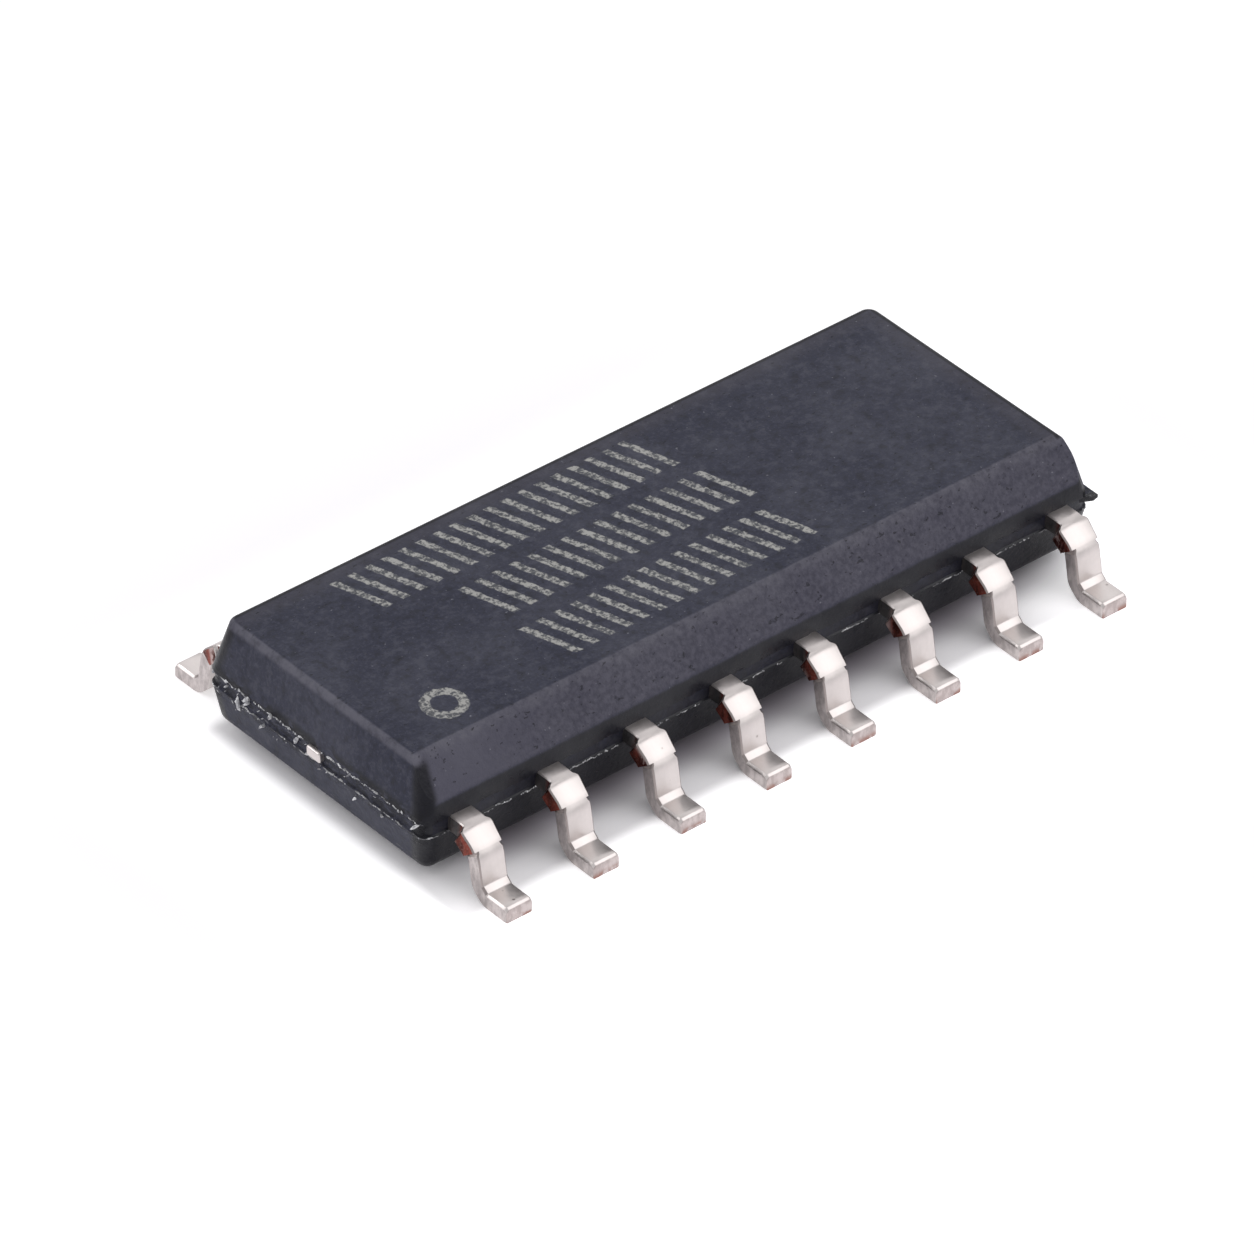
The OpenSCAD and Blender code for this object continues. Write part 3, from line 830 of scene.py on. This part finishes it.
def moulding_finish():
    """Matt filled epoxy. The top and the ends are fine; the bevel is coarse, pitted and painted paler as
    sheen;
    the wall under the bevel and the corners have a polish and are painted dark as shade. Flash and etching
    leave it pale."""
    finish = Finish("moulding")
    x, y, z = finish.split(finish.place)
    end_reach = abs(x)
    side_reach = abs(y)

    # where the faces of the body are
    from_bevel = (y - BEVEL_LOW.y) * BEVEL_NORMAL.y + (z - BEVEL_LOW.z) * BEVEL_NORMAL.z
    on_bevel = from_bevel.ramp(-0.045, -0.004) * x.ramp(0.12 - END_X, 0.2 - END_X)
    past_frame = finish.larger(z - FRAME_TOP, FRAME_BOTTOM - z)
    lean = finish.larger(past_frame, 0.0) * math.tan(DRAFT)
    from_side = side_reach - WALL_Y + lean
    from_end = end_reach - END_X + lean
    on_side = from_side.ramp(-0.05, -0.012) * on_bevel.ramp(0.6, 0.0)
    in_corner = from_side.ramp(-0.28, -0.16) * from_end.ramp(-0.22, -0.12)
    in_corner = in_corner * x.ramp(0.1, 0.0)
    polish_and_shade = finish.larger(on_side, in_corner) * z.ramp(TOP - 0.02, TOP - 0.14)

    # resin, a little uneven in depth and sprinkled with grain
    cloud = finish.noise(1.1, detail=4.0)
    grain = finish.noise(20.0, detail=4.0, roughness=0.7)
    coarse = finish.noise(16.0, detail=3.0, roughness=0.6)
    colour = finish.mix(cloud.ramp(0.3, 0.7), rgb(0.018, 0.0195, 0.037), rgb(0.025, 0.0265, 0.046))
    colour = colour.mixed(grain.ramp(0.5, 0.66, 0.0, 0.6), rgb(0.055, 0.057, 0.08))
    colour = colour.mixed(grain.ramp(0.48, 0.34, 0.0, 0.7), rgb(0.01, 0.0105, 0.019))
    mottle = finish.noise(7.0, detail=3.0, roughness=0.65)
    colour = colour.mixed(mottle.ramp(0.5, 0.7, 0.0, 0.6), rgb(0.05, 0.051, 0.071))
    colour = colour.mixed(mottle.ramp(0.48, 0.3, 0.0, 0.85), rgb(0.012, 0.0125, 0.022))
    # painted sheen: the coarse bevel is painted paler than the top, and paler still towards the -X end as
    # painted light
    coarse_sheen_colour = finish.mix(coarse.ramp(0.3, 0.7), rgb(0.041, 0.039, 0.057), rgb(0.075, 0.071, 0.095))
    lit_end = coarse_sheen_colour.mixed(x.ramp(2.5 - END_X, 0.4 - END_X), rgb(0.075, 0.072, 0.098))
    colour = colour.mixed(on_bevel * 0.8, lit_end)
    # painted shade: the wall under the bevel and the corners are painted near black where shade falls; the
    # same mask lowers their roughness
    colour = colour.mixed(polish_and_shade * 0.9, rgb(0.006, 0.006, 0.0085))

    # the upper edge of the bevel is painted pale in patches as a highlight, and the far edges of the top
    # face are dark
    bevel_edge_highlight = from_bevel.ramp(-0.035, -0.015) * z.ramp(TOP - 0.13, TOP - 0.02)
    bevel_edge_highlight = bevel_edge_highlight * mottle.ramp(0.35, 0.65, 0.1, 0.5)
    colour = colour.mixed(bevel_edge_highlight, rgb(0.11, 0.107, 0.13))
    far_reach = finish.larger(from_side - y.ramp(0.1, 0.0), from_end - x.ramp(0.1, 0.0))
    worn = far_reach.ramp(-0.4, -0.12, 0.0, 0.35) * z.ramp(TOP - 0.06, TOP - 0.02)
    colour = colour.mixed(worn, rgb(0.06, 0.055, 0.067))
    far_edge = far_reach.ramp(-0.1, -0.07) * z.ramp(TOP - 0.06, TOP - 0.02)
    colour = colour.mixed(far_edge * 0.8, rgb(0.004, 0.004, 0.006))

    # painted highlight: the rolled upper edge of the -X end is painted pale in patches
    rolled_edge_highlight = from_end.ramp(-0.13, -0.05) * z.ramp(TOP - 0.12, TOP - 0.05)
    rolled_edge_highlight = rolled_edge_highlight * z.ramp(TOP - 0.001, TOP - 0.012)
    near_end = x.ramp(0.0, -1.0) * mottle.ramp(0.3, 0.6, 0.4, 0.75)
    colour = colour.mixed(rolled_edge_highlight * near_end, rgb(0.105, 0.102, 0.128))

    # pits, and specks of filler
    upwards = finish.larger(on_bevel, z.ramp(TOP - 0.03, TOP - 0.01))
    pitting = finish.noise(15.0, detail=3.0, roughness=0.6, vector=finish.stretch((0.75, 1.3, 1.0)))
    pit = pitting.ramp(0.37, 0.31) * upwards
    colour = colour.mixed(pit * 0.7, rgb(0.006, 0.0065, 0.011))
    chance = finish.noise(17.0, detail=2.0)
    speck = chance.ramp(0.72, 0.78) * upwards
    colour = colour.mixed(speck * 0.6, rgb(0.2, 0.2, 0.23))

    # scratches that rubbing left on the top face
    rub = finish.noise(3.0, detail=5.0, roughness=0.7, vector=finish.stretch((1.0, 9.0, 1.0)))
    rubbed = rub.ramp(0.66, 0.74) * z.ramp(TOP - 0.02, TOP - 0.01)
    colour = colour.mixed(rubbed * 0.18, rgb(0.13, 0.13, 0.15))

    # etched marks: mottled strokes with a slightly paler rim
    ragged = (finish.noise(14.0, detail=3.0) - 0.5) * 0.06
    distance = etched_distance(finish) + ragged
    on_top = z.ramp(TOP - 0.004, TOP - 0.002)
    etched = distance.ramp(0.01, -0.012) * on_top
    mottled = finish.noise(19.0, detail=3.0, roughness=0.65).ramp(0.4, 0.6)
    mark = finish.mix(mottled, rgb(0.065, 0.067, 0.075), rgb(0.34, 0.335, 0.32))
    colour = colour.mixed(etched * 0.92, mark)

    # whitened streaks along the upright band of the ends and at its edges
    streaks = finish.noise(6.0, detail=5.0, roughness=0.75, vector=finish.stretch((1.0, 1.0, 3.0)))
    band = z.ramp(FRAME_BOTTOM - 0.14, FRAME_BOTTOM - 0.02) * z.ramp(FRAME_TOP + 0.05, FRAME_TOP - 0.01)
    band = band * end_reach.ramp(END_X - 0.12, END_X - 0.07)
    torn = band * streaks.ramp(0.58, 0.68)
    dug_shade = band * streaks.ramp(0.52, 0.42)
    colour = colour.mixed(torn * 0.4, rgb(0.3, 0.3, 0.33))
    # painted shade: the dug streaks, sunk by the bump, are painted near black as shade in them
    colour = colour.mixed(dug_shade * 0.7, rgb(0.009, 0.009, 0.012))

    # pale nicks along the lower edge of the ends
    low_edge = z.ramp(BOTTOM + 0.24, BOTTOM + 0.16) * z.ramp(BOTTOM + 0.02, BOTTOM + 0.08)
    nicked = low_edge * (streaks.ramp(0.58, 0.66) * end_reach.ramp(END_X - 0.3, END_X - 0.2))
    colour = colour.mixed(nicked * 0.5, rgb(0.16, 0.16, 0.18))

    # painted shadow: dark patches painted just over the upper lip of the band
    lip_shadow_noise = finish.noise(2.6, detail=3.0, roughness=0.6, vector=finish.stretch((1.0, 1.0, 2.0)))
    over_lip = z.ramp(FRAME_TOP - 0.03, FRAME_TOP + 0.005) * z.ramp(FRAME_TOP + 0.15, FRAME_TOP + 0.05)
    over_lip = over_lip * end_reach.ramp(END_X - 0.14, END_X - 0.1)
    lip_shadow = over_lip * lip_shadow_noise.ramp(0.44, 0.52)
    colour = colour.mixed(lip_shadow * 0.85, rgb(0.005, 0.005, 0.007))

    finish.surface(colour, grain.ramp(0.3, 0.7, 0.52, 0.68) - polish_and_shade * 0.26)
    gloss = cloud.ramp(0.35, 0.65, 0.24, 0.34) - in_corner * 0.1
    finish.put(gloss, finish.shader.inputs["Specular IOR Level"])
    relief = grain * 0.3 + (coarse - 0.5) * (0.6 + on_bevel * 1.4)
    relief = relief - pit * 1.2
    relief = relief - etched * 0.4
    relief = relief + (torn - dug_shade) * 1.5
    finish.bump(relief, 0.55, 0.014)
    return finish.material


def tin_colour(finish, across, along):
    """Colour, rolling lines and blotches of matt tin on rolled sheet."""
    lines = finish.node("ShaderNodeCombineXYZ")
    finish.put(across * 30.0, lines.inputs[0])
    finish.put(along * 2.5, lines.inputs[1])
    rolled = finish.noise(1.0, detail=3.0, roughness=0.6, vector=Field(finish, lines.outputs[0]))
    blotch = finish.noise(5.0, detail=4.0, roughness=0.6)
    colour = finish.mix(blotch.ramp(0.3, 0.7), rgb(0.585, 0.54, 0.525), rgb(0.65, 0.6, 0.585))
    colour = colour.mixed(rolled.ramp(0.4, 0.8, 0.0, 0.1), rgb(0.45, 0.42, 0.4))
    return colour, rolled, blotch


def plated_finish():
    """Matt tin over copper: bright on the faces of the sheet, duller and rougher where it was sheared,
    with stains and copper showing at the cut tips."""
    finish = Finish("tin_plate")
    grain_map = finish.node("ShaderNodeUVMap", uv_map="grain")
    u, v, _ = finish.split(Field(finish, grain_map.outputs[0]))
    sheared = finish.attribute("sheared")
    colour, rolled, blotch = tin_colour(finish, u, v)
    torn = finish.noise(11.0, detail=4.0, roughness=0.7, vector=finish.stretch((1.0, 1.0, 0.5)))
    dull = finish.mix(torn.ramp(0.35, 0.65), rgb(0.34, 0.305, 0.3), rgb(0.56, 0.51, 0.5))
    colour = colour.mixed(sheared * 0.85, dull)
    # painted shade: the chamfered edges of the steep legs are painted dark
    rim = finish.attribute("rim")
    colour = colour.mixed(rim * 0.7, rgb(0.16, 0.13, 0.125))

    _, y, z = finish.split(finish.place)
    at_tip = abs(y).ramp(SPAN / 2 - 0.012, SPAN / 2 - 0.006)
    tip_colour = finish.mix(torn.ramp(0.4, 0.6), rgb(0.4, 0.345, 0.335), rgb(0.52, 0.46, 0.45))
    colour = colour.mixed(at_tip, tip_colour)
    low = z.ramp(0.1, 0.0)
    copper = at_tip * (low * finish.noise(7.0, detail=2.0).ramp(0.45, 0.56))
    colour = colour.mixed(copper * 0.85, rgb(0.26, 0.12, 0.09))

    pit_distance, pit_chance = finish.cells(7.0)
    pit = pit_distance.ramp(0.16, 0.05) * pit_chance.ramp(0.84, 0.88)
    colour = colour.mixed(pit * 0.6, rgb(0.2, 0.17, 0.15))
    rough = blotch.ramp(0.3, 0.7, 0.3, 0.4) + sheared * 0.12
    finish.surface(colour, rough, 1.0)
    relief = rolled * 0.15 + blotch * 0.5
    relief = relief + sheared * torn
    finish.bump(relief - pit, 0.3, 0.01)
    return finish.material


def cut_copper_finish():
    """Copper alloy laid bare where the dam bar was cut: drawn tin above, torn copper below."""
    finish = Finish("cut_copper")
    _, y, _ = finish.split(finish.place)
    torn = finish.noise(9.0, detail=4.0, roughness=0.7, vector=finish.stretch((1.0, 1.0, 0.4)))
    colour = finish.mix(torn.ramp(0.35, 0.65), rgb(0.06, 0.016, 0.013), rgb(0.25, 0.065, 0.048))
    fine = finish.noise(40.0, detail=2.0)
    colour = colour.mixed(fine.ramp(0.5, 0.75, 0.0, 0.25), rgb(0.42, 0.3, 0.25))
    smear = finish.noise(0.7, detail=2.0, roughness=0.7)
    smeared = smear.ramp(0.56, 0.6, 0.0, 0.7) * torn.ramp(0.42, 0.5)
    colour = colour.mixed(smeared, rgb(0.6, 0.5, 0.48))
    # painted shade: close to the body the cut sides are painted dark grey, as in the body's shadow
    shade_near_body = abs(y).ramp(WALL_Y + 0.24, WALL_Y + 0.12)
    colour = colour.mixed(shade_near_body * 0.9, grey(0.16))
    finish.surface(colour, torn.ramp(0.3, 0.7, 0.35, 0.55), 1.0)
    finish.bump(torn + fine, 0.5, 0.012)
    return finish.material


def flash_finish(name, dark, pale):
    """Thin broken resin, pale where it is torn."""
    finish = Finish(name)
    torn = finish.noise(9.0, detail=4.0, roughness=0.7)
    colour = finish.mix(torn.ramp(0.4, 0.6), grey(dark, (0.97, 0.97, 1.05)),
                        grey(pale, (0.98, 0.98, 1.0)))
    finish.surface(colour, 0.6)
    finish.bump(finish.noise(40.0, detail=3.0), 0.5, 0.01)
    return finish.material


def paddle_finish():
    """Rolled copper alloy, tin-plated where the cut tie bars leave the body."""
    finish = Finish("copper")
    x, y, _ = finish.split(finish.place)
    colour, rolled, blotch = tin_colour(finish, y, x)
    copper = finish.mix(rolled.ramp(0.35, 0.65), rgb(0.62, 0.33, 0.22), rgb(0.78, 0.46, 0.34))
    outside = abs(x).ramp(END_X - 0.06, END_X - 0.04)
    finish.surface(copper.mixed(outside, colour), blotch.ramp(0.3, 0.7, 0.28, 0.4), 1.0)
    finish.bump(rolled, 0.3, 0.01)
    return finish.material


def adhesive_finish():
    """Silver-filled adhesive: dull, with bright flakes."""
    finish = Finish("die_glue")
    distance, chance = finish.cells(60.0)
    flake = distance.ramp(0.5, 0.2) * chance.ramp(0.4, 0.6)
    finish.surface(finish.mix(flake, grey(0.42), grey(0.75)), flake.ramp(0.0, 1.0, 0.6, 0.3), 0.5)
    finish.bump(flake, 0.3, 0.01)
    return finish.material


def silicon_finish():
    """Polished silicon: a blue-grey mirror with a fine rectangular grain of circuit blocks."""
    finish = Finish("silicon")
    blocks, tone = finish.cells(9.0, finish.stretch((1.0, 1.6, 0.1)))
    colour = finish.mix(tone.ramp(0.2, 0.8), rgb(0.11, 0.13, 0.19), rgb(0.2, 0.2, 0.22))
    wires = finish.noise(30.0, detail=1.0, vector=finish.stretch((0.1, 3.0, 0.1)))
    colour = colour.mixed(wires.ramp(0.5, 0.6, 0.0, 0.4), rgb(0.4, 0.36, 0.3))
    finish.surface(colour, blocks.ramp(0.0, 0.6, 0.12, 0.3), 0.6)
    return finish.material


def gold_finish():
    """Drawn gold with faint die lines."""
    finish = Finish("gold_wire")
    lines = finish.noise(80.0, detail=2.0, vector=finish.stretch((0.2, 1.0, 1.0)))
    colour = finish.mix(lines.ramp(0.3, 0.7), rgb(0.85, 0.58, 0.2), rgb(0.95, 0.7, 0.32))
    finish.surface(colour, lines.ramp(0.3, 0.7, 0.18, 0.3), 1.0)
    return finish.material


# ---------- putting the package together ----------

def build_package():
    moulding = moulding_finish()
    plated = plated_finish()
    cut_copper = cut_copper_finish()
    thread = flash_finish("flash_thread", 0.1, 0.4)
    chip = flash_finish("flash_chip", 0.25, 0.75)

    body = add_piece("moulding", moulding_mesh(), "moulding", "mould_body")
    body.data.materials.append(moulding)

    leads = lead_rows(plated, cut_copper)
    add_piece("leads", leads, "tin_plate", *[f"lead_{pin}" for pin in range(1, PINS + 1)])

    lower = flash_lines("flash_lower", thread, chip, FRAME_BOTTOM, 0.008, {
        "Kept from": 0.0, "Breaks": 0.45, "Thickness": 0.009 * MM, "Lump size": 0.015 * MM, "Seed": 1})
    upper = flash_lines("flash_upper", thread, chip, FRAME_TOP - 0.01, 0.012, {
        "Kept from": (END_X - 0.03) * MM, "Breaks": 0.42, "Thickness": 0.012 * MM, "Lump size": 0.024 * MM,
        "Seed": 2})
    add_piece("flash_lower", lower, "moulding")
    add_piece("flash_upper", upper, "moulding")
    for name, turn, seed in (("crumbs_low_end", math.pi, 3), ("crumbs_high_end", 0.0, 4)):
        crumbs = wall_chips(name, chip, {
            "Turn": (0.0, 0.0, turn), "Width": 2 * (WALL_Y - CORNER) * MM, "Low": (FRAME_BOTTOM - 0.14) * MM,
            "High": FRAME_TOP * MM, "Count per area": 38.0 / MM ** 2, "Crumb size": 0.03 * MM, "Seed": seed})
        add_piece(name, crumbs, "moulding")

    paddle = add_piece("paddle", paddle_mesh(), "copper", "die_paddle")
    paddle.data.materials.append(paddle_finish())
    dress("die_adhesive", adhesive_finish())
    dress("silicon_die", silicon_finish())
    gold = gold_finish()
    for pin in range(1, PINS + 1):
        dress(f"bond_wire_{pin}", gold)


# ---------- floor, light and camera ----------

def floor_finish():
    """Matt white paper. Seen directly or mirrored it also glows faintly round the package, so that only
    the tight shadow under the body and between the leads stays."""
    finish = Finish("white_floor")
    x, y, _ = finish.split(finish.place)
    paper = finish.mix(finish.noise(0.02), rgb(0.975, 0.96, 0.975), rgb(0.98, 0.965, 0.98))
    # painted shadow: the paper is painted darker and purplish under the body and between the leads
    under = abs(y).ramp(WALL_Y + 0.3, WALL_Y - 0.2) * abs(x).ramp(END_X - 0.1, END_X - 1.3)
    finish.surface(paper.mixed(under, rgb(0.4, 0.37, 0.41)), 0.9)
    finish.shader.inputs["Specular IOR Level"].default_value = 0.0

    past_end = abs(x) - (END_X - 0.15)
    past_side = finish.larger(y - (WALL_Y - 0.1), -0.5 - WALL_Y - y)
    away = finish.math("SQRT", finish.larger(past_end, 0.0) ** 2.0 + finish.larger(past_side, 0.0) ** 2.0)
    glow = away.ramp(0.0, 0.26, 0.0, 0.5) * away.ramp(2.6, 0.2)
    by_corner = finish.larger(x.ramp(END_X - 2.0, END_X - 0.5),
                              x.ramp(1.2 - END_X, 0.1 - END_X, 0.0, 0.4))
    by_corner = by_corner * y.ramp(0.4 - WALL_Y, -0.5 - WALL_Y, 0.0, 0.45)
    rays = finish.node("ShaderNodeLightPath").outputs
    camera, glossy, transmission = [Field(finish, rays[f"Is {kind} Ray"])
                                    for kind in ("Camera", "Glossy", "Transmission")]
    glow = finish.larger(glow, by_corner * camera)
    seen = camera + (glossy + transmission)
    finish.shader.inputs["Emission Color"].default_value = grey(1)
    finish.put(glow * finish.smaller(seen, 1.0), finish.shader.inputs["Emission Strength"])
    return finish.material


def lay_floor():
    mesh = bpy.data.meshes.new("floor")
    half = 600 * MM
    corners = [(-half, -half, 0), (half, -half, 0), (half, half, 0), (-half, half, 0)]
    mesh.from_pydata(corners, [], [(0, 1, 2, 3)])
    mesh.materials.append(floor_finish())
    floor = put_in_scene("floor", mesh)


def hang_softbox(name, azimuth, elevation, distance, size, radiance):
    """A square area lamp that faces the package; its radiance sets the power."""
    lamp = bpy.data.lights.new(name, "AREA")
    lamp.shape = "SQUARE"
    lamp.size = size * MM
    lamp.energy = radiance * math.pi * (size * MM) ** 2
    holder = put_in_scene(name, lamp)
    towards = direction(azimuth, elevation)
    holder.location = towards * distance * MM
    holder.rotation_euler = towards.to_track_quat("Z", "Y").to_euler()


def light_the_studio():
    world = bpy.data.worlds.new("studio")
    bpy.context.scene.world = world
    world.use_nodes = True
    sky = world.node_tree.nodes["Background"]
    sky.inputs["Color"].default_value = rgb(0.985, 0.985, 1.0)
    sky.inputs["Strength"].default_value = 0.8
    hang_softbox("key", 39, 42, 220, 185, 1.2)
    hang_softbox("rim", -137, 34, 220, 110, 2.4)
    hang_softbox("back", 140, 40, 220, 150, 0.5)


def place_camera():
    azimuth = -40.28
    elevation = 36.81
    roll = math.radians(0.428)
    distance = 138.72
    aim = Vector((-0.2949, 0.1659))
    back = direction(azimuth, elevation)
    level = Vector((math.cos(math.radians(azimuth)), math.sin(math.radians(azimuth)), 0))
    upright = back.cross(level)
    right = level * math.cos(roll) + upright * math.sin(roll)
    up = upright * math.cos(roll) - level * math.sin(roll)
    data = bpy.data.cameras.new("camera")
    data.sensor_width = 36
    data.lens = 347.14
    data.clip_start = 5 * MM
    data.clip_end = 4.0
    camera = put_in_scene("camera", data)
    camera.matrix_world = Matrix((right, up, back)).transposed().to_4x4()
    camera.location = (right * aim.x + up * aim.y + back * distance) * MM
    bpy.context.scene.camera = camera


bpy.context.scene.view_settings.view_transform = "Standard"
build_package()
lay_floor()
light_the_studio()
place_camera()
